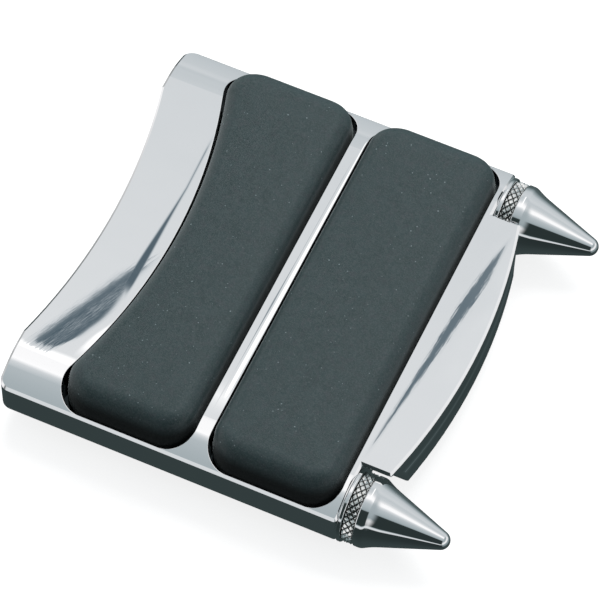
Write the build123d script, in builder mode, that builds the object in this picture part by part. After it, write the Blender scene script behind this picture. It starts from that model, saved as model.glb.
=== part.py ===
from build123d import *
from math import atan, cos, pi, sin, tan
import os

# Motorcycle brake pedal pad: a chrome die-cast housing with two raised rubber treads and two
# screw-in spikes. Millimetres. +X runs from the concave edge to the spikes, +Y along the treads,
# +Z out of the tread face. The origin is the centre of the four mounting holes, on the back
# face of the mounting block, which is the face the pad rests on and bolts down by.

os.makedirs("parts", exist_ok=True)

# ---- mounting block and levels -------------------------------------------------------------
block_x = 56.0
block_y = 38.0
block_height = 5.0
block_corner = 4.0
mount_spacing_x = 40.0
mount_spacing_y = 24.0
mount_hole_r = 2.5
mount_hole_clearance = 0.6                # extra radius round a mounting hole in the plate
rim_z = block_height                      # lowest edge of the housing wall

# ---- housing -------------------------------------------------------------------------------
half_length = 45.0
x_left = -42.7                            # concave edge, at its straight ends
waist_depth = 4.15                        # how far the concave edge comes in at the middle
waist_half = 32.5                         # half the chord of the concave arc
x_face = x_left + 75.2                    # end face that the spikes are screwed against
x_shoulder = x_left + 81.4                # outer corners of the convex block
shoulder_half = 32.4                      # half the chord of the convex arc
bulge = 4.3                               # rise of the convex arc
body_height = 11.2                        # at the middle
end_height = 8.2                          # at the two rolled-down ends
roll_length = 9.6                         # the stretch over which each end comes down
slope_angle = 23.5 * pi / 180             # the flat slope at each end, after a round knee
wall = 2.2
left_corner = 2.4                         # plan radius of the corners on the concave side
face_corner = 0.8                         # plan radius of the corners beside the spikes
edge_chamfer = 0.5                        # bevel along the outer top edge
rim_radius = 0.8                          # rounding of the outer bottom edge
lip_radius = 0.25                         # rounding of the pocket mouths

# ---- pockets and treads --------------------------------------------------------------------
pocket_floor = 6.8                        # above the rim
floor_thickness = 2.0
pocket_half = 44.3
inner_x0 = x_left + 9.5                   # inner pocket: ends of its concave side
inner_waist = x_left + 18.4               # the same side at the middle
inner_x1 = x_left + 41.4
outer_x0 = x_left + 44.8
outer_x1 = x_left + 73.6
pocket_corner = 6.0
tread_gap = 0.35                          # air all round a tread in its pocket
tread_top = 15.5                          # above the rim
tread_rounding = 3.4
core_thickness = 1.0
core_margin = 3.0
core_stud_r = 1.5
core_stud_clearance = 0.2                 # extra radius of its hole in the pocket floor
core_stud_y = 28.0
core_stud_end = 2.3                       # lower end of a core stud, above the rim
nut_flats = 5.5
nut_height = 2.4
inner_core_x = x_left + 30.3
outer_core_x = x_left + 59.2

# ---- back of the housing -------------------------------------------------------------------
plate_thickness = 1.5
plate_gap = 0.15
spike_block_x = 13.0                      # solid corner behind each spike
spike_block_y = 31.2
bulge_cavity_half = 24.0
post_r = 3.0
post_pilot_r = 1.25
post_top = 9.0
plate_posts = [
    (x_left + 7.5, 31.0),
    (x_left + 7.5, -31.0),
    (x_left + 11.6, 0.0),
    (x_left + 79.0, 17.0),
    (x_left + 79.0, -17.0),
    (x_left + 80.1, 0.0),
]
plate_screw_head_r = 2.8
plate_screw_r = 1.5
plate_screw_end = 7.0
block_screw_x = 18.0
block_screw_y = 24.0
block_screw_r = 2.0
block_screw_head_r = 3.5
block_screw_head = 2.0
block_screw_depth = 4.0

# ---- spikes: axial stations are measured from the housing's end face -------------------------
spike_y = 37.8
spike_z = rim_z + 3.7
notch_half = shoulder_half                # inner wall of each corner notch
relief_r = 11.4                           # hollow around each spike, below the notch's lip
relief_z = rim_z + 0.5
washer_r = 7.8
washer_thickness = 0.9
knurl_end = 3.5
knurl_r = 7.5
hub_r = 4.6
shoulder_end = 5.1
bevel_end = 7.2
cone_base_r = 6.4
cone_apex = 25.7
nose_r = 2.0
shoulder_chamfer = 0.25
stud_r = 2.5
stud_in_housing = 10.0
stud_in_spike = 9.0
stud_hole_r = 2.55
stud_chamfer = 0.4
spike_bore_r = 2.52
bore_spare = 0.6                          # depth of a hole beyond the end of its screw
cut_spare = 0.5                           # overlap where a cut or a post passes a face
relief_length = x_shoulder + bulge - x_face + cut_spare
across = 4 * half_length                  # longer than the whole pad
same_place = 0.01                         # two points nearer than this are the same


# ---- shared outlines -----------------------------------------------------------------------
def tread_outline(x0, waist, x1):
    """Plan outline of a pocket: straight sides, or a side that bows in to waist."""
    with BuildSketch() as outline:
        with BuildLine():
            if waist == x0:
                Line((x0, -pocket_half), (x0, pocket_half))
            else:
                ThreePointArc((x0, -pocket_half), (waist, 0), (x0, pocket_half))
            Polyline((x0, pocket_half), (x1, pocket_half), (x1, -pocket_half), (x0, -pocket_half))
        make_face()
        ends = outline.vertices().filter_by(lambda v: abs(abs(v.Y) - pocket_half) < same_place)
        fillet(ends, radius=pocket_corner)
    return outline.sketch


inner_pocket = tread_outline(inner_x0, inner_waist, inner_x1)
outer_pocket = tread_outline(outer_x0, outer_x0, outer_x1)


def is_pocket_mouth(edge):
    """True for an edge on the wall of a pocket, seen from above."""
    middle = edge @ 0.5
    for pocket in (inner_pocket, outer_pocket):
        for side in pocket.edges():
            if side.distance_to(Vertex(middle.X, middle.Y, 0)) < same_place:
                return True
    return False


def core_studs(core_x):
    """Plan positions of the three studs of one tread core."""
    return [(core_x, -core_stud_y), (core_x, 0), (core_x, core_stud_y)]


with BuildSketch() as body_outline:
    with BuildLine():
        Line((x_left, -half_length), (x_left, -waist_half))
        ThreePointArc((x_left, -waist_half), (x_left + waist_depth, 0), (x_left, waist_half))
        Polyline(
            (x_left, waist_half), (x_left, half_length), (x_face, half_length),
            (x_face, notch_half), (x_shoulder, notch_half),
        )
        ThreePointArc((x_shoulder, notch_half), (x_shoulder + bulge, 0), (x_shoulder, -notch_half))
        Polyline(
            (x_shoulder, -notch_half), (x_face, -notch_half), (x_face, -half_length),
            (x_left, -half_length),
        )
    make_face()

# The hollow behind the treads: inside the walls, clear of the solid corners behind the spikes.
with BuildSketch() as hollow_outline:
    add(body_outline.sketch)
    offset(amount=-wall, kind=Kind.INTERSECTION, mode=Mode.REPLACE)
    with Locations((x_face, half_length), (x_face, -half_length)):
        Rectangle(2 * spike_block_x, 2 * (half_length - spike_block_y), mode=Mode.SUBTRACT)
    with Locations((x_face + spike_block_x, half_length), (x_face + spike_block_x, -half_length)):
        Rectangle(
            2 * (spike_block_x + wall), 2 * (half_length - bulge_cavity_half), mode=Mode.SUBTRACT
        )

# ---- housing -------------------------------------------------------------------------------
with BuildPart() as housing:
    with BuildSketch(Plane.XY.offset(rim_z)):
        add(body_outline.sketch)
    extrude(amount=body_height)
    corners = housing.edges().filter_by(Axis.Z)
    corners = corners.filter_by(lambda e: abs(e.center().Y) > half_length - cut_spare)
    fillet(corners.sort_by(Axis.X)[:2], radius=left_corner)
    corners = housing.edges().filter_by(Axis.Z)
    corners = corners.filter_by(lambda e: abs(e.center().Y) > half_length - cut_spare)
    fillet(corners.sort_by(Axis.X)[-2:], radius=face_corner)
    # Side profile: flat in the middle, then a round knee and a straight slope at each end.
    drop = body_height - end_height
    knee_r = (roll_length * tan(slope_angle) - drop) / (1 / cos(slope_angle) - 1)
    knee_start = half_length - roll_length
    knee_end = knee_start + knee_r * sin(slope_angle)
    knee_z = rim_z + body_height - knee_r * (1 - cos(slope_angle))
    with BuildSketch(Plane.YZ):
        with BuildLine():
            Line((knee_start, rim_z + body_height), (-knee_start, rim_z + body_height))
            RadiusArc((-knee_start, rim_z + body_height), (-knee_end, knee_z), -knee_r)
            Polyline(
                (-knee_end, knee_z), (-half_length, rim_z + end_height), (-half_length, rim_z),
                (half_length, rim_z), (half_length, rim_z + end_height), (knee_end, knee_z),
            )
            RadiusArc((knee_end, knee_z), (knee_start, rim_z + body_height), -knee_r)
        make_face()
    extrude(amount=across, both=True, mode=Mode.INTERSECT)
    # Bevelled top edge, all the way round.
    lowest = rim_z + end_height - cut_spare
    top_edges = housing.edges().filter_by(lambda e: e.bounding_box().min.Z > lowest)
    seams = top_edges.filter_by(Axis.X).filter_by(lambda e: abs(e.center().Y) < knee_end + cut_spare)
    seams = seams.filter_by(lambda e: e.length > half_length)
    chamfer([e for e in top_edges if e not in seams], length=edge_chamfer)
    # Rounded bottom edge.
    fillet(housing.edges().group_by(Axis.Z)[0], radius=rim_radius)
    # Hollow round each spike: it undercuts the notch and leaves a thin lip at the top.
    with BuildSketch(Plane.YZ.offset(x_face)):
        with Locations((spike_y, relief_z), (-spike_y, relief_z)):
            Circle(relief_r)
    extrude(amount=relief_length, mode=Mode.SUBTRACT)
    # Pockets for the two treads.
    with BuildSketch(Plane.XY.offset(rim_z + pocket_floor)):
        add(inner_pocket)
        add(outer_pocket)
    extrude(amount=body_height, mode=Mode.SUBTRACT)
    # Rounded pocket mouths.
    above_floor = rim_z + pocket_floor + same_place
    mouths = housing.edges().filter_by(lambda e: e.bounding_box().min.Z > above_floor)
    mouths = mouths.filter_by(lambda e: is_pocket_mouth(e))
    fillet(mouths, radius=lip_radius)
    # Hollow back: shallow behind the pockets, deeper behind the two side strips.
    with BuildSketch(Plane.XY.offset(rim_z)):
        add(hollow_outline.sketch)
    extrude(amount=pocket_floor - floor_thickness, mode=Mode.SUBTRACT)
    with BuildSketch(Plane.XY.offset(rim_z)):
        add(hollow_outline.sketch)
        Rectangle(across, 2 * (half_length - roll_length - wall), mode=Mode.INTERSECT)
        for pocket in (inner_pocket, outer_pocket):
            offset(pocket, amount=wall, mode=Mode.SUBTRACT)
    extrude(amount=post_top, mode=Mode.SUBTRACT)
    # Posts that take the screws of the backing plate.
    with BuildSketch(Plane.XY.offset(rim_z + plate_thickness)):
        with Locations(*plate_posts):
            Circle(post_r)
    extrude(amount=post_top + cut_spare - plate_thickness)
    with BuildSketch(Plane.XY.offset(rim_z + plate_thickness)):
        with Locations(*plate_posts):
            Circle(post_pilot_r)
    extrude(amount=plate_screw_end - plate_thickness + bore_spare, mode=Mode.SUBTRACT)
    # Holes for the core studs, and the threaded holes for the spikes.
    with BuildSketch(Plane.XY.offset(rim_z)):
        with Locations(*core_studs(inner_core_x), *core_studs(outer_core_x)):
            Circle(core_stud_r + core_stud_clearance)
    extrude(amount=pocket_floor + cut_spare, mode=Mode.SUBTRACT)
    with BuildSketch(Plane.YZ.offset(x_face)):
        with Locations((spike_y, spike_z), (-spike_y, spike_z)):
            Circle(stud_hole_r)
    extrude(amount=-(stud_in_housing + bore_spare), mode=Mode.SUBTRACT)
housing.part.label = "housing"
export_step(housing.part, "parts/housing.step")


# ---- treads and their steel cores ----------------------------------------------------------
def make_core(pocket, core_x, name):
    """Steel plate bonded under a tread, with three studs that pass through the pocket floor."""
    with BuildPart() as core:
        with BuildSketch(Plane.XY.offset(rim_z + pocket_floor)):
            offset(pocket, amount=-core_margin)
        extrude(amount=core_thickness)
        with BuildSketch(Plane.XY.offset(rim_z + core_stud_end)):
            with Locations(*core_studs(core_x)):
                Circle(core_stud_r)
        extrude(amount=pocket_floor - core_stud_end)
    core.part.label = name
    export_step(core.part, f"parts/{name}.step")
    return core.part


def make_tread(pocket, core, name):
    """Rubber tread: fills its pocket, stands proud of the housing and is rounded on top."""
    with BuildPart() as tread:
        with BuildSketch(Plane.XY.offset(rim_z + pocket_floor)):
            offset(pocket, amount=-tread_gap)
        extrude(amount=tread_top - pocket_floor)
        top = tread.faces().sort_by(Axis.Z)[-1]
        fillet(top.edges(), radius=tread_rounding)
        add(core, mode=Mode.SUBTRACT)
    tread.part.label = name
    export_step(tread.part, f"parts/{name}.step")


def make_core_nuts(core_x, name):
    """Three hexagon nuts that hold a tread down from behind the pocket floor."""
    nut_z = rim_z + pocket_floor - floor_thickness - nut_height
    with BuildPart() as nuts:
        with BuildSketch(Plane.XY.offset(nut_z)):
            with Locations(*core_studs(core_x)):
                RegularPolygon(radius=nut_flats / 2, side_count=6, major_radius=False)
                Circle(core_stud_r, mode=Mode.SUBTRACT)
        extrude(amount=nut_height)
    nuts.part.label = name
    export_step(nuts.part, f"parts/{name}.step")


inner_core = make_core(inner_pocket, inner_core_x, "inner_tread_core")
outer_core = make_core(outer_pocket, outer_core_x, "outer_tread_core")
make_tread(inner_pocket, inner_core, "inner_tread")
make_tread(outer_pocket, outer_core, "outer_tread")
make_core_nuts(inner_core_x, "inner_core_nuts")
make_core_nuts(outer_core_x, "outer_core_nuts")

# ---- backing plate, mounting block and their screws ------------------------------------------
head_depth = plate_screw_head_r - plate_screw_r
with BuildPart() as backing_plate:
    with BuildSketch(Plane.XY.offset(rim_z)):
        offset(hollow_outline.sketch, amount=-plate_gap, kind=Kind.INTERSECTION)
    extrude(amount=plate_thickness)
    with BuildSketch(Plane.XY.offset(rim_z)):
        with GridLocations(mount_spacing_x, mount_spacing_y, 2, 2):
            Circle(mount_hole_r + mount_hole_clearance)
        with GridLocations(block_screw_x, block_screw_y, 2, 2):
            Circle(block_screw_r)
    extrude(amount=plate_thickness, mode=Mode.SUBTRACT)
    with Locations(*[Pos(x, y, rim_z) * Rot(X=180) for x, y in plate_posts]):
        CounterSinkHole(plate_screw_r, plate_screw_head_r, counter_sink_angle=90)
backing_plate.part.label = "backing_plate"
export_step(backing_plate.part, "parts/backing_plate.step")

with BuildPart() as backing_plate_screws:
    with BuildSketch(Plane.XZ) as screw_profile:
        Polygon(
            (0, rim_z), (plate_screw_head_r, rim_z), (plate_screw_r, rim_z + head_depth),
            (plate_screw_r, rim_z + plate_thickness), (post_pilot_r, rim_z + plate_thickness),
            (post_pilot_r, rim_z + plate_screw_end), (0, rim_z + plate_screw_end), align=None,
        )
    one_screw = revolve(axis=Axis.Z, mode=Mode.PRIVATE)
    with Locations(*plate_posts):
        add(one_screw)
backing_plate_screws.part.label = "backing_plate_screws"
export_step(backing_plate_screws.part, "parts/backing_plate_screws.step")

with BuildPart() as mounting_block:
    with BuildSketch(Plane.XY):
        RectangleRounded(block_x, block_y, block_corner)
        with GridLocations(mount_spacing_x, mount_spacing_y, 2, 2):
            Circle(mount_hole_r, mode=Mode.SUBTRACT)
    extrude(amount=block_height)
    with BuildSketch(Plane.XY.offset(block_height - block_screw_depth - bore_spare)):
        with GridLocations(block_screw_x, block_screw_y, 2, 2):
            Circle(block_screw_r)
    extrude(amount=block_screw_depth + bore_spare, mode=Mode.SUBTRACT)
mounting_block.part.label = "mounting_block"
export_step(mounting_block.part, "parts/mounting_block.step")

with BuildPart() as block_screws:
    with BuildSketch(Plane.XY.offset(rim_z + plate_thickness)):
        with GridLocations(block_screw_x, block_screw_y, 2, 2):
            Circle(block_screw_head_r)
    extrude(amount=block_screw_head)
    with BuildSketch(Plane.XY.offset(rim_z - block_screw_depth)):
        with GridLocations(block_screw_x, block_screw_y, 2, 2):
            Circle(block_screw_r)
    extrude(amount=block_screw_depth + plate_thickness)
block_screws.part.label = "block_screws"
export_step(block_screws.part, "parts/block_screws.step")


# ---- spikes --------------------------------------------------------------------------------
def make_spike(side, y):
    """One screw-in spike: washer, knurled collar, turned point and threaded stud."""
    axis_line = Axis((x_face, y, spike_z), (1, 0, 0))
    cone_angle = atan(cone_base_r / (cone_apex - bevel_end))
    nose_centre = cone_apex - nose_r / sin(cone_angle)
    nose_turn = pi / 2 - cone_angle           # angle of the rounded nose, from the axis
    side_plane = Plane(origin=(x_face, y, spike_z), x_dir=(1, 0, 0), z_dir=(0, -1, 0))

    with BuildPart() as point:
        with BuildSketch(side_plane):
            with BuildLine():
                Polyline(
                    (washer_thickness, 0), (washer_thickness, hub_r), (knurl_end, hub_r),
                    (knurl_end, knurl_r - shoulder_chamfer), (knurl_end + shoulder_chamfer, knurl_r),
                    (shoulder_end, knurl_r), (bevel_end, cone_base_r),
                    (nose_centre + nose_r * cos(nose_turn), nose_r * sin(nose_turn)),
                )
                ThreePointArc(
                    (nose_centre + nose_r * cos(nose_turn), nose_r * sin(nose_turn)),
                    (nose_centre + nose_r * cos(nose_turn / 2), nose_r * sin(nose_turn / 2)),
                    (nose_centre + nose_r, 0),
                )
                Line((nose_centre + nose_r, 0), (washer_thickness, 0))
            make_face()
        revolve(axis=axis_line)
        with BuildSketch(side_plane):
            Polygon(
                (0, 0), (0, spike_bore_r), (stud_in_spike + bore_spare, spike_bore_r),
                (stud_in_spike + bore_spare, 0), align=None,
            )
        revolve(axis=axis_line, mode=Mode.SUBTRACT)
    point.part.label = f"{side}_spike_point"
    export_step(point.part, f"parts/{side}_spike_point.step")

    with BuildPart() as collar:
        with BuildSketch(side_plane):
            with Locations(((washer_thickness + knurl_end) / 2, (hub_r + knurl_r) / 2)):
                Rectangle(knurl_end - washer_thickness, knurl_r - hub_r)
        revolve(axis=axis_line)
    collar.part.label = f"{side}_spike_collar"
    export_step(collar.part, f"parts/{side}_spike_collar.step")

    with BuildPart() as washer:
        with BuildSketch(Plane(origin=(x_face, y, spike_z), z_dir=(1, 0, 0))):
            Circle(washer_r)
            Circle(stud_hole_r, mode=Mode.SUBTRACT)
        extrude(amount=washer_thickness)
    washer.part.label = f"{side}_spike_washer"
    export_step(washer.part, f"parts/{side}_spike_washer.step")

    with BuildPart() as stud:
        with BuildSketch(Plane(origin=(x_face - stud_in_housing, y, spike_z), z_dir=(1, 0, 0))):
            Circle(stud_r)
        extrude(amount=stud_in_housing + stud_in_spike)
        chamfer(stud.edges(), length=stud_chamfer)
    stud.part.label = f"{side}_spike_stud"
    export_step(stud.part, f"parts/{side}_spike_stud.step")


make_spike("near", -spike_y)
make_spike("far", spike_y)
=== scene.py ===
from math import asin, atan, ceil, cos, pi, radians, sin, tan

import bmesh
import bpy
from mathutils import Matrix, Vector


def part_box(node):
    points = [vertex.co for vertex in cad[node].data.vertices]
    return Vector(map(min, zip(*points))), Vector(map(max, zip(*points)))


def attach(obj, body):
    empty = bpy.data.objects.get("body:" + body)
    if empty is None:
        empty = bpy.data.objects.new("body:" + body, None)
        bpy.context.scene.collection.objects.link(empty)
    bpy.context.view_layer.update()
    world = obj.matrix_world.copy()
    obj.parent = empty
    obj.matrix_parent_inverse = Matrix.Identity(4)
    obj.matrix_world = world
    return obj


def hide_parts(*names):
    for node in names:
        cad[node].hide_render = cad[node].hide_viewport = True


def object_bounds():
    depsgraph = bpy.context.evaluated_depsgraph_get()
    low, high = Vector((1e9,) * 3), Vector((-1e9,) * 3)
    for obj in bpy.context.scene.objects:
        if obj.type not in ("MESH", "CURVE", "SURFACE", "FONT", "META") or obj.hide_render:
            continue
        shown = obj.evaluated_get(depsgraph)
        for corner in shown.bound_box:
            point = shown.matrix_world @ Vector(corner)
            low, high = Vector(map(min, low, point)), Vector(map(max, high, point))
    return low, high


# Looks of the motorcycle brake pedal pad. Metres. +X runs from the concave edge to the spikes,
# +Y along the treads, +Z out of the tread face.

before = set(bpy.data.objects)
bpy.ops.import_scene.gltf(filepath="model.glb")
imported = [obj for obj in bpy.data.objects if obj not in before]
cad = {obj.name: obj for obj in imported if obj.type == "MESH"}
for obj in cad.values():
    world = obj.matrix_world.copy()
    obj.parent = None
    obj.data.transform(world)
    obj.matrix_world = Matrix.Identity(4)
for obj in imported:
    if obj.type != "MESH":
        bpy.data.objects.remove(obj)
cad_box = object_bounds()
MM = 0.001

# ---- treads ----------------------------------------------------------------------------------
tread_gap = 0.35 * MM                     # air all round a tread in its pocket
tread_inset = 0.65 * MM                   # of the wall, above the part that fills the pocket
pocket_corner = 6.0 * MM
tread_corner = 7.2 * MM                   # plan radius of a tread's own corners
tread_waist = 8.9 * MM                    # how far the inner pocket's concave side bows in
side_rounding = 3.2 * MM                  # along a tread's long sides
end_rounding = 5.0 * MM                   # at its ends and corners
base_height = 2.5 * MM                    # of the part that fills the pocket
tread_crown = 0.3 * MM                    # rise of the top from its edge to the middle
outline_step = 0.8 * MM
rounding_steps = 14
crown_rings = 14

# ---- spikes: axial stations from the housing's end face -----------------------------------------
washer_thickness = 0.9 * MM
knurl_end = 3.5 * MM
knurl_r = 7.5 * MM
knurl_depth = 0.55 * MM
knurl_count = 27                          # diamonds round the collar
knurl_pitch = 1.3 * MM                    # length of a diamond along the axis
knurl_samples = 16                        # mesh steps along each side of a diamond's box
knurl_flat = 0.94                         # height, of 1, at which the diamonds are cut flat
hub_r = 4.6 * MM
shoulder_end = 5.1 * MM
bevel_end = 7.2 * MM
cone_base_r = 6.4 * MM
cone_apex = 25.7 * MM
nose_r = 2.0 * MM
nose_steps = 12
washer_r = 7.8 * MM
rim_rounding = 0.25 * MM                  # of the washer
hub_rounding = 0.3 * MM                   # where the knurl ends and the shoulder starts
shoulder_rounding = 2.2 * MM
bevel_rounding = 17.0 * MM
collar_edge = 0.05 * MM                   # how far a collar's ends lie below its grooves
collar_chamfer = 1.4                      # rise of a collar's ends for each metre along the axis
bore_r = 2.55 * MM
bore_end = 9.6 * MM
stud_r = 2.5 * MM
thread_pitch = 0.8 * MM
thread_depth = 0.43 * MM
thread_rows = 10                          # mesh rows for each turn of the thread
thread_columns = 72
stud_edge = 0.1 * MM                      # how far a stud's ends lie below its thread's root
lathe_segments = 160

# ---- shading of the housing and treads: places in millimetres, leans as parts of the normal ------
mark_lean = -0.085                        # brushed marks, along X, towards the dark slit
bright_lean = 0.08                        # the strips beside them, towards the bright strip
level_face = (0.97, 0.995)                # upward part of the normal where the marks lie
knee_lean = 0.13                          # just past a knee, along Y
knee_start, knee_full, knee_end = 36.0, 38.6, 44.5
swell_lean = 0.56                         # wall of the convex edge, upwards, halfway up
swell_height = 11.0
pocket_half = 44.2                        # from the middle to a pocket's end wall, along Y
pocket_floor_half = 43.4
pocket_right = 31.2                       # straight side of the outer pocket
concave_x = -25.7                         # concave side of the inner pocket, at its middle
concave_half = 45.0                       # where that side has bowed by the tread's waist
shaded_side = (15.6, 18.6)                # heights between which a tread's side lights up
# painted dark reflection on the housing's marks
painted_dark_reflection = (0.42, 0.48, 0.52, 1)
# painted shadow in the housing's tread pockets
pocket_shadow = (0.02, 0.024, 0.025, 1)
# painted shadow on the treads' sides
side_shadow = (0.004, 0.006, 0.006, 1)
milling_pitch = 0.5


# ---- node helper -----------------------------------------------------------------------------
class Nodes:
    """Short calls that each add one node to a tree and return its output."""

    def __init__(self, tree):
        self.tree = tree
        tree.nodes.clear()

    def node(self, kind, inputs=None, **settings):
        node = self.tree.nodes.new(kind)
        for key, value in settings.items():
            setattr(node, key, value)
        for key, value in (inputs or {}).items():
            if isinstance(value, bpy.types.NodeSocket):
                self.tree.links.new(value, node.inputs[key])
            else:
                node.inputs[key].default_value = value
        return node

    def math(self, operation, a, b=0.0, clamp=False):
        node = self.node("ShaderNodeMath", {0: a, 1: b}, operation=operation, use_clamp=clamp)
        return node.outputs[0]

    def add(self, a, b):
        return self.math("ADD", a, b)

    def times(self, a, b):
        return self.math("MULTIPLY", a, b)

    def minus(self, a, b):
        return self.math("SUBTRACT", a, b)

    def largest(self, first, *others):
        for other in others:
            first = self.math("MAXIMUM", first, other)
        return first

    def vector(self, operation, a, b=(0, 0, 0)):
        return self.node("ShaderNodeVectorMath", {0: a, 1: b}, operation=operation).outputs[0]

    def scale(self, a, factor):
        return self.node("ShaderNodeVectorMath", {0: a, 3: factor}, operation="SCALE").outputs[0]

    def split(self, a):
        return self.node("ShaderNodeSeparateXYZ", {0: a}).outputs

    def join(self, x, y, z):
        return self.node("ShaderNodeCombineXYZ", {0: x, 1: y, 2: z}).outputs[0]

    def step(self, a, low, high, start=0.0, end=1.0):
        """Smooth step of a from start, at low, to end, at high."""
        inputs = {0: a, 1: low, 2: high, 3: start, 4: end}
        return self.node("ShaderNodeMapRange", inputs, interpolation_type="SMOOTHSTEP").outputs[0]

    def band(self, a, centre, half, soft):
        """1 within half of centre, 0 outside, with an edge 2 * soft wide."""
        away = self.math("ABSOLUTE", self.minus(a, centre))
        return self.step(self.minus(away, half), -soft, soft, 1.0, 0.0)

    def noise(self, at, scale, detail=2.0, roughness=0.5):
        inputs = {"Vector": at, "Scale": scale, "Detail": detail, "Roughness": roughness}
        return self.node("ShaderNodeTexNoise", inputs).outputs[0]

    def ramp(self, a, stops):
        """Colour ramp; stops are (position, colour)."""
        node = self.node("ShaderNodeValToRGB", {0: a})
        elements = node.color_ramp.elements
        while len(elements) > 1:
            elements.remove(elements[0])
        elements[0].position, elements[0].color = stops[0]
        for position, colour in stops[1:]:
            elements.new(position).color = colour
        return node.outputs[0]

    def mix(self, factor, a, b):
        """Mix of two colours."""
        inputs = {0: factor, 6: a, 7: b}
        return self.node("ShaderNodeMix", inputs, data_type="RGBA").outputs[2]

    def bump(self, height, distance, normal=None):
        inputs = {"Height": height, "Distance": distance, "Strength": 1.0}
        if normal is not None:
            inputs["Normal"] = normal
        return self.node("ShaderNodeBump", inputs).outputs[0]

    def object_mm(self):
        """Object coordinates in millimetres."""
        return self.scale(self.node("ShaderNodeTexCoord").outputs["Object"], 1 / MM)


def new_material(name):
    material = bpy.data.materials.new(name)
    material.use_nodes = True
    return material, Nodes(material.node_tree)


def finish_material(t, **inputs):
    """Adds the shader and the output; an input's name has _ for each space."""
    shader = t.node("ShaderNodeBsdfPrincipled", {k.replace("_", " "): v for k, v in inputs.items()})
    t.node("ShaderNodeOutputMaterial", {0: shader.outputs[0]})


# ---- materials -------------------------------------------------------------------------------
CHROME = (0.9, 0.9, 0.9, 1)


def chrome_roughness(t, at, base):
    """Mirror roughness with faint wipe marks and fine haze."""
    haze = t.noise(at, 0.12, 4.0, 0.6)
    wipes = t.noise(t.vector("MULTIPLY", at, (2.5, 0.25, 0.5)), 0.9, 3.0, 0.6)
    marks = t.times(t.step(haze, 0.45, 0.75), t.step(wipes, 0.5, 0.72))
    return t.add(base, t.add(t.times(marks, 0.035), t.times(haze, 0.02)))


def brush_strokes(t, x, y):
    """Place across the slanted brush strokes of the left strip, and their coarse and fine noise."""
    slant = t.minus(x, t.times(t.add(y, 9.0), 0.45))
    grain_at = t.join(slant, t.times(y, 0.07), 0.0)
    coarse = t.minus(t.noise(grain_at, 1.6, 3.0, 0.7), 0.5)
    fine = t.minus(t.noise(grain_at, 5.0, 3.0, 0.7), 0.5)
    return slant, coarse, fine


def left_line(t, x, y):
    """Thin dark line along the left strip, which opens towards the brushed mark."""
    line_x = t.add(-27.2, t.times(t.math("ABSOLUTE", t.minus(y, 12.0)), -0.03))
    half = t.step(y, -14.0, 14.0, 0.9, 0.14)
    return t.times(t.band(x, line_x, half, 0.4), t.band(y, 4.0, 20.0, 3.0))


def brushed_mark(t, y, slant, right, coarse, fine):
    """Broad dark mark towards the near corner of the left strip, with ragged ends."""
    ragged = t.add(t.times(coarse, 9.0), t.times(fine, 5.0))
    upper = t.add(t.add(slant, 20.0), t.times(ragged, 1.7))
    lower = t.add(t.step(slant, -24.5, -22.0, -34.6, -29.6), t.times(ragged, 0.45))
    mark = t.step(t.add(slant, t.times(fine, 2.5)), -30.5, -27.0)
    mark = t.times(mark, t.step(t.minus(slant, right), -1.2, 0.8, 1.0, 0.0))
    mark = t.times(mark, t.step(t.minus(y, upper), -4.0, 2.5, 1.0, 0.0))
    mark = t.times(mark, t.step(t.minus(y, lower), -1.2, 1.6))
    # Light strokes show through it along its middle.
    shine = t.times(t.band(slant, -25.5, 1.5, 1.5), t.step(fine, -0.2, 0.2, 0.0, 0.4))
    return t.times(mark, t.minus(1.0, shine))


def lens_mark(t, x, y):
    """Long dark lens with feathered edges on the right strip."""
    grain_at = t.join(t.minus(x, t.times(y, 0.1)), t.times(y, 0.05), 0.0)
    feather = t.minus(t.noise(grain_at, 3.0, 3.0, 0.7), 0.5)
    lens_x = t.add(35.3, t.times(y, 0.1))
    half = t.times(t.step(y, -40.0, 18.0, 0.1, 1.25), t.step(y, 14.0, 31.0, 1.0, 0.0))
    edge = t.add(half, t.times(t.times(feather, half), 2.4))
    lens = t.times(t.band(x, lens_x, edge, 0.5), t.step(y, -33.0, -26.0))
    return t.times(t.times(lens, t.step(half, 0.0, 0.3)), 1.4)


def middle_line(t, x, y, line_x):
    """Thin dark line along the middle strip, widest just before its middle."""
    swell = t.band(y, -6.0, 2.0, 12.0)
    line = t.band(x, line_x, t.add(0.07, t.times(swell, 0.22)), 0.1)
    return t.times(line, t.band(y, 4.0, 30.0, 8.0))


def bright_strips(t, x, y, slant, right, line_x):
    """Bright places: between the brushed mark and the tread, at the near left corner, beside the
    middle strip's line and at that strip's near end."""
    flank = t.times(t.step(t.minus(slant, right), 0.0, 3.0), t.band(y, -27.0, 7.0, 9.0))
    flank = t.times(flank, t.step(x, -24.0, -23.0, 1.0, 0.0))
    corner = t.times(t.step(y, -38.0, -35.0), t.step(y, -36.0, -32.0, 1.0, 0.0))
    corner = t.times(corner, t.step(x, -30.0, -28.0, 1.0, 0.0))
    beside = t.times(t.band(x, t.add(line_x, 0.95), 0.4, 0.35), t.band(y, 6.0, 36.0, 3.0))
    near_middle = t.times(t.band(x, 0.3, 2.0, 0.5), t.band(y, -30.0, 3.0, 12.0))
    return t.largest(flank, corner, beside, t.times(near_middle, 0.7))


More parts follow.
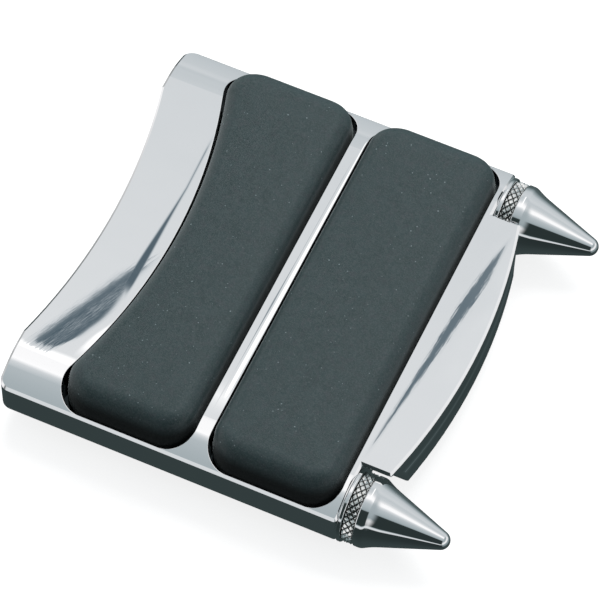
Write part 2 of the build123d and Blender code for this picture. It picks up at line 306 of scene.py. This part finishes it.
def housing_normal(t, at, true_normal, lean_x):
    """Normal of the casting: it leans by lean_x on the level face, and is slightly wavy."""
    x, y, z = t.split(at)
    upright = t.split(true_normal)[2]
    lean_x = t.times(lean_x, t.step(upright, *level_face))
    # Past each knee the slope goes on turning a little, so the knee has no hard edge.
    from_middle = t.math("ABSOLUTE", y)
    easing = t.step(from_middle, knee_start, knee_full, 0.0, knee_lean)
    easing = t.times(easing, t.step(from_middle, knee_full, knee_end, 1.0, 0.0))
    easing = t.times(t.times(easing, t.math("SIGN", y)), -1.0)
    easing = t.times(easing, t.step(upright, 0.4, 0.6))
    # The convex edge's wall swells a little along its middle.
    swelling = t.times(t.band(z, swell_height, 0.7, 2.2), t.step(x, 33.5, 34.5))
    swelling = t.times(swelling, t.step(upright, 0.2, 0.4, swell_lean, 0.0))
    swelling = t.times(swelling, t.band(y, 0.0, 30.0, 1.0))
    lean = t.join(lean_x, easing, swelling)
    normal = t.vector("NORMALIZE", t.vector("ADD", true_normal, lean))
    return t.bump(t.noise(at, 0.09, 1.0, 0.4), 0.03 * MM, normal)


def pocket_mask(t, at, true_normal):
    """1 on the walls and floors of the tread pockets, 0 on the face round them."""
    x, y, z = t.split(at)
    bowed = t.times(t.times(y, y), -tread_waist / MM / concave_half ** 2)
    inside = t.step(t.minus(x, t.add(concave_x, bowed)), -0.1, 0.1)
    inside = t.times(inside, t.step(x, pocket_right, pocket_right + 0.2, 1.0, 0.0))
    inside = t.times(inside, t.band(y, 0.0, pocket_half, 0.1))
    floor_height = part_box("inner_tread")[0].z / MM
    low = t.step(z, floor_height + 0.2, floor_height + 0.6, 1.0, 0.0)
    low = t.times(low, t.band(y, 0.0, pocket_floor_half, 0.2))
    steep = t.step(t.split(true_normal)[2], 0.5, 0.8, 1.0, 0.0)
    return t.times(inside, t.largest(low, steep))


def housing_chrome():
    """Plated casting: faint waves, brushed marks on the strips beside the treads, painted dark
    reflections on those marks and painted shadow in the pockets.
    """
    material, t = new_material("housing_chrome_plate")
    at = t.object_mm()
    x, y, _ = t.split(at)
    slant, coarse, fine = brush_strokes(t, x, y)
    right = t.add(t.step(y, -25.0, -8.0, -22.4, -26.2), t.times(fine, 0.6))
    middle_x = t.add(0.6, t.times(y, 0.015))
    line = left_line(t, x, y)
    broad = brushed_mark(t, y, slant, right, coarse, fine)
    lens = lens_mark(t, x, y)
    dark = t.largest(line, broad, lens, middle_line(t, x, y, middle_x))
    bright = bright_strips(t, x, y, slant, right, middle_x)
    bright = t.times(bright, t.math("SUBTRACT", 1.0, dark, clamp=True))
    true_normal = t.node("ShaderNodeNewGeometry").outputs["Normal"]
    lean_x = t.add(t.times(dark, mark_lean), t.times(bright, bright_lean))
    normal = housing_normal(t, at, true_normal, lean_x)
    rough = chrome_roughness(t, at, 0.02)
    rough = t.add(rough, t.times(broad, t.step(fine, -0.1, 0.2, 0.02, 0.1)))
    # Painted reflection: the marks' dark reflections are also painted into the colour as darker
    # chrome.
    painted_reflection_mask = t.largest(line, broad, t.times(lens, 0.25))
    colour = t.mix(t.times(painted_reflection_mask, 0.8), CHROME, painted_dark_reflection)
    # Painted shadow on the walls and floors of the tread pockets.
    colour = t.mix(pocket_mask(t, at, true_normal), colour, pocket_shadow)
    finish_material(t, Base_Color=colour, Metallic=1.0, Roughness=rough, Normal=normal)
    return material


def turned_chrome(name, base_roughness):
    """Plated turned steel: faint rings round the X axis under the plating."""
    material, t = new_material(name)
    at = t.object_mm()
    x = t.split(at)[0]
    rings = t.noise(t.join(x, 0.0, 0.0), 6.0, 2.0, 0.5)
    waves = t.noise(at, 0.15, 1.0, 0.4)
    height = t.add(t.times(rings, 0.05), waves)
    normal = t.bump(height, 0.012 * MM)
    rough = chrome_roughness(t, at, base_roughness)
    finish_material(t, Base_Color=CHROME, Metallic=1.0, Roughness=rough, Normal=normal)
    return material


def knurled_chrome(name, centre_y, centre_z):
    """Chrome knurl with painted shade in the grooves, which are also rougher."""
    material, t = new_material(name)
    at = t.object_mm()
    _, y, z = t.split(at)
    off_y = t.minus(y, centre_y / MM)
    off_z = t.minus(z, centre_z / MM)
    radius = t.math("SQRT", t.add(t.times(off_y, off_y), t.times(off_z, off_z)))
    uneven = t.minus(radius, t.times(t.noise(at, 2.2, 3.0, 0.6), 0.08))
    groove_r = (knurl_r - knurl_depth) / MM
    above_grooves = t.step(uneven, groove_r - 0.03, groove_r + 0.17)
    # Painted shade: the colour goes near black in the grooves.
    colour = t.mix(above_grooves, (0.03, 0.03, 0.028, 1), (0.95, 0.95, 0.93, 1))
    rough = t.add(0.05, t.times(t.minus(1.0, above_grooves), 0.4))
    normal = t.bump(t.noise(at, 9.0, 2.0, 0.6), 0.006 * MM)
    finish_material(t, Base_Color=colour, Metallic=1.0, Roughness=rough, Normal=normal)
    return material


def tread_rubber():
    """Matt moulded rubber: fine grain, slow mottle, sparse light dust and a painted shadow on the
    sides.
    """
    material, t = new_material("tread_rubber_matt")
    at = t.object_mm()
    grain = t.noise(at, 3.2, 4.0, 0.65)
    pores = t.noise(at, 8.0, 2.0, 0.6)
    mottle = t.noise(at, 0.35, 3.0, 0.6)
    blotch = t.noise(at, 1.5, 3.0, 0.7)
    warm = t.noise(t.vector("ADD", at, (31.0, 7.0, 3.0)), 0.8, 2.0, 0.6)
    colour = t.mix(t.step(mottle, 0.3, 0.7), (0.016, 0.03, 0.031, 1), (0.02, 0.036, 0.038, 1))
    colour = t.mix(t.step(warm, 0.45, 0.75, 0.0, 0.5), colour, (0.031, 0.035, 0.041, 1))
    colour = t.mix(t.step(blotch, 0.4, 0.7, 0.0, 0.3), colour, (0.044, 0.058, 0.058, 1))
    colour = t.mix(t.step(grain, 0.42, 0.66, 0.0, 0.6), colour, (0.048, 0.064, 0.066, 1))
    speck = t.node("ShaderNodeTexVoronoi", {"Vector": at, "Scale": 1.3})
    chance = t.split(speck.outputs["Color"])
    size = t.times(t.math("POWER", chance[0], 3.0), 0.2)
    dust = t.step(t.minus(size, speck.outputs["Distance"]), -0.05, 0.05)
    dust = t.times(dust, t.step(chance[1], 0.3, 0.6))
    colour = t.mix(t.times(dust, 0.4), colour, (0.3, 0.36, 0.38, 1))
    # Painted shadow: the sides are darker below the rounded edge, where the pocket shades them.
    lit = t.step(t.split(at)[2], *shaded_side)
    colour = t.mix(lit, side_shadow, colour)
    normal = t.bump(t.add(grain, t.times(pores, 0.4)), 0.035 * MM)
    rough = t.add(t.times(lit, -0.4), t.add(0.72, t.times(grain, 0.2)))
    finish_material(
        t, Base_Color=colour, Roughness=rough, Normal=normal, Specular_IOR_Level=0.4,
        Sheen_Weight=0.2, Sheen_Roughness=0.3, Sheen_Tint=(0.8, 0.9, 0.9, 1),
    )
    return material


def plated_steel():
    """Bright zinc plate on turned and pressed steel, with fine scratches."""
    material, t = new_material("zinc_plated_steel")
    at = t.object_mm()
    mottle = t.noise(at, 1.2, 4.0, 0.6)
    scratches = t.noise(t.vector("MULTIPLY", at, (1.0, 6.0, 1.0)), 3.0, 3.0, 0.7)
    colour = t.mix(mottle, (0.5, 0.51, 0.53, 1), (0.7, 0.71, 0.7, 1))
    rough = t.add(0.22, t.times(scratches, 0.2))
    normal = t.bump(scratches, 0.01 * MM)
    finish_material(t, Base_Color=colour, Metallic=1.0, Roughness=rough, Normal=normal)
    return material


def sheet_steel():
    """Satin zinc-plated sheet with rolling marks along Y and a faint spangle."""
    material, t = new_material("satin_sheet_steel")
    at = t.object_mm()
    rolled = t.noise(t.vector("MULTIPLY", at, (4.0, 0.08, 1.0)), 1.5, 3.0, 0.7)
    spangle = t.node("ShaderNodeTexVoronoi", {"Vector": at, "Scale": 0.35}).outputs["Color"]
    shade = t.add(t.times(t.split(spangle)[0], 0.35), t.times(rolled, 0.65))
    colour = t.mix(shade, (0.4, 0.41, 0.43, 1), (0.6, 0.61, 0.63, 1))
    rough = t.add(0.3, t.times(rolled, 0.2))
    normal = t.bump(rolled, 0.015 * MM)
    finish_material(t, Base_Color=colour, Metallic=1.0, Roughness=rough, Normal=normal)
    return material


def block_aluminium():
    """Aluminium block: milled faces above and below, bead-blasted sides."""
    material, t = new_material("milled_aluminium")
    at = t.object_mm()
    path = t.add(t.split(at)[0], t.times(t.noise(at, 0.2), 0.4))
    milled = t.math("SINE", t.times(path, 2 * pi / milling_pitch))
    beads = t.noise(at, 5.0, 3.0, 0.6)
    flat = t.math("ABSOLUTE", t.split(t.node("ShaderNodeNewGeometry").outputs["Normal"])[2])
    flat = t.step(flat, 0.8, 0.95)
    blasted = t.times(t.minus(1.0, flat), beads)
    height = t.add(t.times(flat, t.times(milled, 0.25)), blasted)
    normal = t.bump(height, 0.02 * MM)
    rough = t.add(t.times(beads, 0.15), t.step(flat, 0.0, 1.0, 0.42, 0.24))
    colour = t.mix(beads, (0.62, 0.62, 0.63, 1), (0.74, 0.74, 0.75, 1))
    finish_material(t, Base_Color=colour, Metallic=1.0, Roughness=rough, Normal=normal)
    return material


# ---- mesh helpers ----------------------------------------------------------------------------
def add_piece(name, vertices, faces, body, slot, material, *replaced, sharp=30.0):
    """One visible piece that rides on a body and stands for CAD nodes."""
    mesh = bpy.data.meshes.new(name)
    mesh.from_pydata(vertices, [], faces)
    tidy = bmesh.new()
    tidy.from_mesh(mesh)
    bmesh.ops.remove_doubles(tidy, verts=tidy.verts, dist=1e-7)
    bmesh.ops.recalc_face_normals(tidy, faces=tidy.faces)
    tidy.to_mesh(mesh)
    tidy.free()
    mesh.shade_smooth()
    mesh.set_sharp_from_angle(angle=radians(sharp))
    mesh.materials.append(material)
    piece = bpy.data.objects.new(name, mesh)
    bpy.context.scene.collection.objects.link(piece)
    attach(piece, body)
    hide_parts(*replaced)


def grid_faces(rows, columns, join_rows=False):
    """Quads between rows of points; each row is a closed ring of columns points."""
    faces = []
    last = rows if join_rows else rows - 1
    for row in range(last):
        below = row * columns
        above = (row + 1) % rows * columns
        for column in range(columns):
            after = (column + 1) % columns
            faces.append((below + column, below + after, above + after, above + column))
    return faces


def around(axis, x, r, turn):
    """Point at radius r and angle turn round the spike axis, x past its start."""
    return (axis.x + x, axis.y - r * sin(turn), axis.z + r * cos(turn))


def lathe(axis, profile, closed=False):
    """Vertices and faces of a profile of (x, r) turned round a spike axis."""
    turns = [2 * pi * i / lathe_segments for i in range(lathe_segments)]
    vertices = [around(axis, x, r, turn) for x, r in profile for turn in turns]
    return vertices, grid_faces(len(profile), lathe_segments, closed)


def round_corners(points, steps=10):
    """Profile through (x, r, corner radius) points, with each corner turned into an arc."""
    profile = []
    for i, (x, r, radius) in enumerate(points):
        here = Vector((x, r))
        if radius == 0:
            profile.append((x, r))
            continue
        before = (Vector(points[i - 1][:2]) - here).normalized()
        after = (Vector(points[(i + 1) % len(points)][:2]) - here).normalized()
        half = before.angle(after) / 2
        centre = here + (before + after).normalized() * (radius / sin(half))
        start = here + before * (radius / tan(half)) - centre
        end = here + after * (radius / tan(half)) - centre
        for k in range(steps + 1):
            spoke = start.lerp(end, k / steps).normalized() * radius
            profile.append(tuple(centre + spoke))
    return profile


# ---- treads ----------------------------------------------------------------------------------
def tread_walk(lo, hi, waist):
    """Closed walk round a tread as (point, outward normal), on its pocket's outline but for the
    corners, which are rounder."""
    far_y = hi.y + tread_gap
    corner_y = far_y - tread_corner
    right_x = hi.x + tread_gap - tread_corner
    left_x = lo.x - tread_gap + tread_corner
    reach = 0.0
    if waist:
        # The pocket's concave side is an arc; its corner circle touches the pocket's lowest x.
        arc_r = (far_y ** 2 + waist ** 2) / (2 * waist)
        pocket_reach = asin((far_y - pocket_corner) / (arc_r + pocket_corner))
        arc_x = lo.x - tread_gap + pocket_corner - (arc_r + pocket_corner) * cos(pocket_reach)
        reach = asin(corner_y / (arc_r + tread_corner))
        left_x = arc_x + (arc_r + tread_corner) * cos(reach)
    walk = []

    def straight(a, b, normal):
        count = ceil((Vector(b) - Vector(a)).length / outline_step)
        for k in range(count):
            walk.append((Vector(a).lerp(Vector(b), k / count), Vector(normal)))

    def turn(centre, radius, start, end, inward=False):
        count = ceil(radius * abs(end - start) / outline_step * (1 if inward else 3))
        for k in range(count):
            angle = start + (end - start) * k / count
            spoke = Vector((cos(angle), sin(angle)))
            walk.append((Vector(centre) + spoke * radius, -spoke if inward else spoke))

    straight((right_x + tread_corner, -corner_y), (right_x + tread_corner, corner_y), (1, 0))
    turn((right_x, corner_y), tread_corner, 0, pi / 2)
    straight((right_x, far_y), (left_x, far_y), (0, 1))
    turn((left_x, corner_y), tread_corner, pi / 2, pi + reach)
    if waist:
        turn((arc_x, 0), arc_r, reach, -reach, inward=True)
    else:
        straight((left_x - tread_corner, corner_y), (left_x - tread_corner, -corner_y), (-1, 0))
    turn((left_x, -corner_y), tread_corner, pi - reach, 3 * pi / 2)
    straight((left_x, -far_y), (right_x, -far_y), (0, -1))
    turn((right_x, -corner_y), tread_corner, 3 * pi / 2, 2 * pi)
    return walk


def make_tread(name, node, waist, material):
    """Tread: wall, rounded shoulder and slightly crowned top, ring by ring."""
    lo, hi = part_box(node)
    walk = tread_walk(lo, hi, waist)
    edge_z = hi.z - tread_crown
    vertices = []
    for inset, z in ((tread_gap, lo.z), (tread_gap, lo.z + base_height)):
        vertices += [(*(point - normal * inset), z) for point, normal in walk]
    for k in range(rounding_steps + 1):
        turn = pi / 2 * k / rounding_steps
        for point, normal in walk:
            # Along the sides the normal has no Y; at the ends it has nothing else.
            rounding = side_rounding + (end_rounding - side_rounding) * normal.y ** 2
            place = point - normal * (tread_inset + rounding * (1 - cos(turn)))
            vertices.append((*place, edge_z - rounding * (1 - sin(turn))))
    inner = [Vector(v[:2]) for v in vertices[-len(walk):]]
    right_x = max(p.x for p in inner)
    left_x = min(p.x for p in inner)
    half_width = (right_x - left_x) / 2
    spine_y = max(p.y for p in inner) - half_width
    for k in range(1, crown_rings + 1):
        inward = k / crown_rings
        rise = tread_crown * (1 - (1 - inward) ** 2)
        for point in inner:
            y = max(-spine_y, min(spine_y, point.y))
            bow = waist * (1 - (y / hi.y) ** 2)
            spine = Vector(((left_x + bow + right_x) / 2, y))
            place = point.lerp(spine, inward)
            vertices.append((place.x, place.y, edge_z + rise))
    faces = grid_faces(rounding_steps + 3 + crown_rings, len(walk))
    faces.append(tuple(reversed(range(len(walk)))))
    add_piece(name, vertices, faces, "pad", "tread_rubber", material, node, sharp=50.0)


# ---- spikes ----------------------------------------------------------------------------------
def knurl_height(around_part, along_part):
    """Height, 0 to 1, of the diamond pattern: two families of V grooves cross."""
    first = (around_part + along_part) % 1
    second = (around_part - along_part) % 1
    ridge = min(1 - abs(2 * first - 1), 1 - abs(2 * second - 1))
    return min(ridge, knurl_flat) / knurl_flat


def make_collar(side, axis, material):
    """Knurled ring with chamfered ends."""
    columns = knurl_count * knurl_samples
    step = knurl_pitch / knurl_samples
    rows_x = [washer_thickness]
    while rows_x[-1] + step < knurl_end - 0.2 * step:
        rows_x.append(rows_x[-1] + step)
    rows_x.append(knurl_end)
    floor_r = knurl_r - knurl_depth
    heights = []
    vertices = [around(axis, washer_thickness, hub_r, 2 * pi * i / columns) for i in range(columns)]
    for x in rows_x:
        from_end = min(x - washer_thickness, knurl_end - x)
        limit = floor_r - collar_edge + collar_chamfer * from_end
        along = (x - washer_thickness) / knurl_pitch
        for i in range(columns):
            height = knurl_height(i / knurl_samples, along)
            heights.append(height)
            r = min(limit, floor_r + knurl_depth * height)
            vertices.append(around(axis, x, r, 2 * pi * i / columns))
    vertices += [around(axis, knurl_end, hub_r, 2 * pi * i / columns) for i in range(columns)]
    rows = len(rows_x) + 2
    faces = []
    for a, b, c, d in grid_faces(rows, columns, join_rows=True):
        # Each box is split along the diagonal that follows the groove; the bore has no height.
        low = [0 <= v - columns < len(heights) and heights[v - columns] for v in (a, b, c, d)]
        if low[0] + low[2] < low[1] + low[3]:
            faces += [(a, b, c), (a, c, d)]
        else:
            faces += [(a, b, d), (b, c, d)]
    name = f"{side}_collar_knurled"
    add_piece(
        name, vertices, faces, f"{side}_spike", "knurled_chrome", material, f"{side}_spike_collar",
        sharp=12.0,
    )


def make_point(side, axis, material):
    """Turned spike point with softened edges and the bore for its stud."""
    half_angle = atan(cone_base_r / (cone_apex - bevel_end))
    nose_x = cone_apex - nose_r / sin(half_angle)
    corners = [
        (bore_end, 0, 0),
        (bore_end, bore_r, 0),
        (washer_thickness, bore_r, 0),
        (washer_thickness, hub_r, 0),
        (knurl_end, hub_r, 0),
        (knurl_end, knurl_r, hub_rounding),
        (shoulder_end, knurl_r, shoulder_rounding),
        (bevel_end, cone_base_r, bevel_rounding),
        (nose_x + nose_r * sin(half_angle), nose_r * cos(half_angle), 0),
    ]
    profile = round_corners(corners)
    for k in range(1, nose_steps + 1):
        angle = (pi / 2 - half_angle) * (1 - k / nose_steps)
        profile.append((nose_x + nose_r * cos(angle), nose_r * sin(angle)))
    vertices, faces = lathe(axis, profile)
    name = f"{side}_point_turned"
    add_piece(
        name, vertices, faces, f"{side}_spike", "spike_chrome", material, f"{side}_spike_point",
    )


def make_washer(side, axis, material):
    """Thin disc with rounded rims."""
    corners = [
        (0, bore_r, 0),
        (washer_thickness, bore_r, 0),
        (washer_thickness, washer_r, rim_rounding),
        (0, washer_r, rim_rounding),
    ]
    vertices, faces = lathe(axis, round_corners(corners), closed=True)
    name = f"{side}_washer_disc"
    add_piece(
        name, vertices, faces, f"{side}_carrier", "spike_chrome", material, f"{side}_spike_washer",
    )


def make_stud(side, axis, material):
    """Threaded rod: a right-hand helix, tapered away at both chamfered ends."""
    lo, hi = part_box(f"{side}_spike_stud")
    start, length = lo.x - axis.x, hi.x - lo.x
    count = ceil(length / (thread_pitch / thread_rows))
    root = stud_r - thread_depth
    vertices = [around(axis, start, 0, 0)] * thread_columns
    for row in range(count + 1):
        x = start + length * row / count
        from_end = min(row, count - row) * length / count
        for i in range(thread_columns):
            phase = (x / thread_pitch - i / thread_columns) % 1
            # V thread with a small flat on its crest and in its root.
            ridge = max(0.0, min(1.0, (1 - abs(2 * phase - 1)) * 1.25 - 0.12))
            r = min(root + thread_depth * ridge, root - stud_edge + from_end)
            vertices.append(around(axis, x, r, 2 * pi * i / thread_columns))
    vertices += [around(axis, start + length, 0, 0)] * thread_columns
    faces = grid_faces(count + 3, thread_columns)
    name = f"{side}_stud_threaded"
    add_piece(
        name, vertices, faces, f"{side}_spike", "plated_steel", material, f"{side}_spike_stud",
        sharp=40.0,
    )


# ---- build the object ------------------------------------------------------------------------
steel = plated_steel()
rubber = tread_rubber()
point_material = turned_chrome("spike_chrome_plate", 0.025)

make_tread("inner_tread_moulded", "inner_tread", tread_waist, rubber)
make_tread("outer_tread_moulded", "outer_tread", 0, rubber)

for side in ("near", "far"):
    collar_lo, collar_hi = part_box(f"{side}_spike_collar")
    middle = (collar_lo + collar_hi) / 2
    axis_start = Vector((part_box(f"{side}_spike_washer")[0].x, middle.y, middle.z))
    make_washer(side, axis_start, point_material)
    make_collar(side, axis_start, knurled_chrome(f"{side}_knurl_chrome", middle.y, middle.z))
    make_point(side, axis_start, point_material)
    make_stud(side, axis_start, steel)

carried = {
    "housing": housing_chrome(),
    "inner_tread_core": steel,
    "outer_tread_core": steel,
    "inner_core_nuts": steel,
    "outer_core_nuts": steel,
    "backing_plate": sheet_steel(),
    "backing_plate_screws": steel,
    "mounting_block": block_aluminium(),
    "block_screws": steel,
}
for node_name, material in carried.items():
    for material_slot in cad[node_name].material_slots:
        material_slot.material = material

# ---- floor, world, light and camera ----------------------------------------------------------
floor_half = 20.0
floor_gap = 0.05 * MM                     # below the lowest face of the part
floor_glow = 0.82                         # brightens the paper until only a pale shadow stays
floor_z = cad_box[0][2] - floor_gap
floor_mesh = bpy.data.meshes.new("floor")
floor_corners = [
    (-floor_half, -floor_half, floor_z), (floor_half, -floor_half, floor_z),
    (floor_half, floor_half, floor_z), (-floor_half, floor_half, floor_z),
]
floor_mesh.from_pydata(floor_corners, [], [(0, 1, 2, 3)])
floor = bpy.data.objects.new("floor", floor_mesh)
bpy.context.scene.collection.objects.link(floor)
floor.visible_glossy = False
floor.visible_diffuse = False
floor_material, t = new_material("floor_paper")
paper = t.noise(t.object_mm(), 0.05, 3.0, 0.6)
paper_colour = t.mix(paper, (0.28, 0.28, 0.28, 1), (0.3, 0.3, 0.3, 1))
finish_material(
    t, Base_Color=paper_colour, Roughness=0.9, Specular_IOR_Level=0.0,
    Emission_Color=(1, 1, 1, 1), Emission_Strength=floor_glow,
)
floor_mesh.materials.append(floor_material)


def studio_tone(level):
    """Neutral when bright, cooler and greener as it gets darker."""
    dim = max(0.0, 1 - level) ** 1.5
    return (level * (1 - 0.32 * dim), level, level * (1.01 + 0.2 * dim * (1 - dim)), 1)


# Studio brightness against the angle round the X axis, from overhead towards the camera side.
sky = [
    (-180, 0.055), (-150, 0.05), (-128, 0.09), (-105, 0.13), (-92, 0.35), (-77, 0.62),
    (-55, 0.7), (-45, 0.62), (-33, 0.68), (-28.8, 0.77), (-25, 0.84), (-20, 1.05), (-10, 1.1),
    (-3, 0.74), (6, 0.56), (19, 0.48), (28, 0.4), (81.5, 0.3), (83, 0.75), (89.5, 0.75),
    (91, 0.03), (120, 0.035), (150, 0.05), (180, 0.055),
]
# The same for a dark card, from 0 for none to 1 for the card.
card = [(-180, 0.0), (28, 0.0), (31, 1.0), (79, 1.0), (80.5, 0.0), (180, 0.0)]
card_x = (0.15, 0.6, 0.12)                # part of the direction along X: middle, half, softness
card_level = 0.035
# Dark slit and bright strip that only the housing's marks mirror: place as for the card, colour.
slit_x, slit_colour = (-0.43, 0.085, 0.055), (0.15, 0.2, 0.235, 1)
strip_x, strip_colour = (-0.1, 0.06, 0.03), (1.25, 1.25, 1.25, 1)
slit_angle = (-30.0, 20.0, 3.0)           # of both, in degrees round the X axis
# Brightness of the tent's two ends against height, from 0 below to 1 above.
right_sky = [
    (0.0, 0.05), (0.25, 0.07), (0.36, 0.3), (0.5, 0.36), (0.52, 0.9), (0.68, 0.9), (0.74, 0.4),
    (1.0, 0.5),
]
left_sky = [(0.0, 0.05), (0.32, 0.07), (0.43, 1.0), (0.7, 0.85), (1.0, 0.5)]


def build_world():
    """Soft studio: a tent along X with two closed ends, a dark card on the camera side, a dark slit
    and a bright strip overhead. The camera itself sees a plain white backdrop."""
    world = bpy.data.worlds.new("studio")
    bpy.context.scene.world = world
    world.use_nodes = True
    t = Nodes(world.node_tree)
    x, y, z = t.split(t.node("ShaderNodeTexCoord").outputs["Generated"])
    angle = t.math("ARCTAN2", t.times(y, -1.0), z)
    place = t.add(t.times(angle, 0.5 / pi), 0.5)
    degrees = t.times(angle, 180 / pi)
    tent = t.ramp(place, [((a + 180) / 360, studio_tone(level)) for a, level in sky])
    in_card = t.split(t.ramp(place, [((a + 180) / 360, (v, v, v, 1)) for a, v in card]))[0]
    in_card = t.times(in_card, t.band(x, *card_x))
    tent = t.mix(in_card, tent, studio_tone(card_level))
    high = t.band(degrees, *slit_angle)
    tent = t.mix(t.times(high, t.band(x, *slit_x)), tent, slit_colour)
    tent = t.mix(t.times(high, t.band(x, *strip_x)), tent, strip_colour)
    height = t.add(t.times(z, 0.5), 0.5)
    right_end, left_end = [
        t.ramp(height, [(at, studio_tone(level)) for at, level in levels])
        for levels in (right_sky, left_sky)
    ]
    tent = t.mix(t.step(x, 0.55, 0.7), tent, right_end)
    tent = t.mix(t.step(x, -0.75, -0.55, 1.0, 0.0), tent, left_end)
    backdrop = t.node("ShaderNodeBackground", {0: (0.95, 0.95, 0.95, 1), 1: 1.0}).outputs[0]
    studio = t.node("ShaderNodeBackground", {0: tent, 1: 1.0}).outputs[0]
    seen = t.node("ShaderNodeLightPath").outputs["Is Camera Ray"]
    mixed = t.node("ShaderNodeMixShader", {0: seen, 1: studio, 2: backdrop}).outputs[0]
    t.node("ShaderNodeOutputWorld", {0: mixed})


build_world()


def add_light(name, place, size, power):
    """Soft square light that points at the object and isn't seen in the chrome."""
    lamp = bpy.data.lights.new(name, "AREA")
    lamp.shape = "SQUARE"
    lamp.size = size
    lamp.energy = power
    light = bpy.data.objects.new(name, lamp)
    bpy.context.scene.collection.objects.link(light)
    light.location = place
    light.rotation_euler = (-Vector(place)).to_track_quat("-Z", "Y").to_euler()
    light.visible_glossy = False
    light.visible_camera = False


add_light("overhead", (-0.2, 1.2, 1.6), size=1.3, power=46.0)

# The camera looks at aim from the fitted direction, through a long lens.
azimuth = radians(24.915)
elevation = radians(58.818)
roll = radians(-0.245)
distance = 1.03608
aim = Vector((0.618, 7.112, -1.961)) * MM
back = Vector((sin(azimuth) * cos(elevation), -cos(azimuth) * cos(elevation), sin(elevation)))
level_right = Vector((cos(azimuth), sin(azimuth), 0))
level_up = back.cross(level_right)
camera_data = bpy.data.cameras.new("camera")
camera_data.lens = 300
camera_data.sensor_width = 36
camera = bpy.data.objects.new("camera", camera_data)
bpy.context.scene.collection.objects.link(camera)
right = level_right * cos(roll) + level_up * sin(roll)
up = back.cross(right)
turned = camera.matrix_world.copy()
for row in range(3):
    turned[row][0], turned[row][1], turned[row][2] = right[row], up[row], back[row]
    turned[row][3] = aim[row] + back[row] * distance
camera.matrix_world = turned
camera_data.clip_end = 100                # metres; the floor's far edge is nearer
bpy.context.scene.camera = camera
bpy.context.scene.view_settings.view_transform = "Standard"
